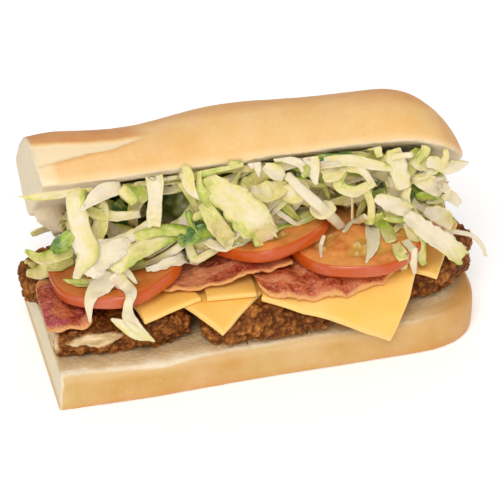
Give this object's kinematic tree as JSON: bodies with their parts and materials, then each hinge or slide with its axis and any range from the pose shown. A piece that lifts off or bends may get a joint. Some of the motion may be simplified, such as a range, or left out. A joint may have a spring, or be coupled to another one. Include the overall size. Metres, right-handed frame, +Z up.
{
  "type": "chicken club sub",
  "caption": "Half of a filled sub roll, tipped open at the front, with breaded chicken, cheese, bacon, tomato slices and shredded lettuce.",
  "frame": {"origin": "on the table, under the middle of the bottom bread's flat base", "axes": "+X along the roll from the knife cut to the rounded end, -Y the open front, +Z up"},
  "size_m": [0.1828, 0.0933, 0.0981],
  "materials": {
    "bread": "soft baked crust, semi matt, over pale open crumb",
    "breading": "rough fried breading, lightly oily",
    "cheese": "smooth satin processed slice",
    "bacon": "greasy cured meat with pale fat",
    "tomato": "wet flesh and shiny skin",
    "lettuce": "moist leaf, semi matt, slightly translucent"
  },
  "bodies": {
    "root": {"bread_bottom": "bread", "bread_top": "bread", "chicken_front_left": "breading", "chicken_front_middle": "breading", "chicken_back": "breading", "chicken_right": "breading", "cheese_lower_middle": "cheese", "cheese_far_right": "cheese", "cheese_upper_left": "cheese", "cheese_upper_middle": "cheese", "cheese_right": "cheese", "bacon_left": "bacon", "bacon_middle": "bacon", "bacon_right": "bacon", "tomato_left": "tomato", "tomato_middle": "tomato", "tomato_right": "tomato", "tomato_far_right": "tomato", "lettuce": "lettuce"}
  },
  "joints": []
}
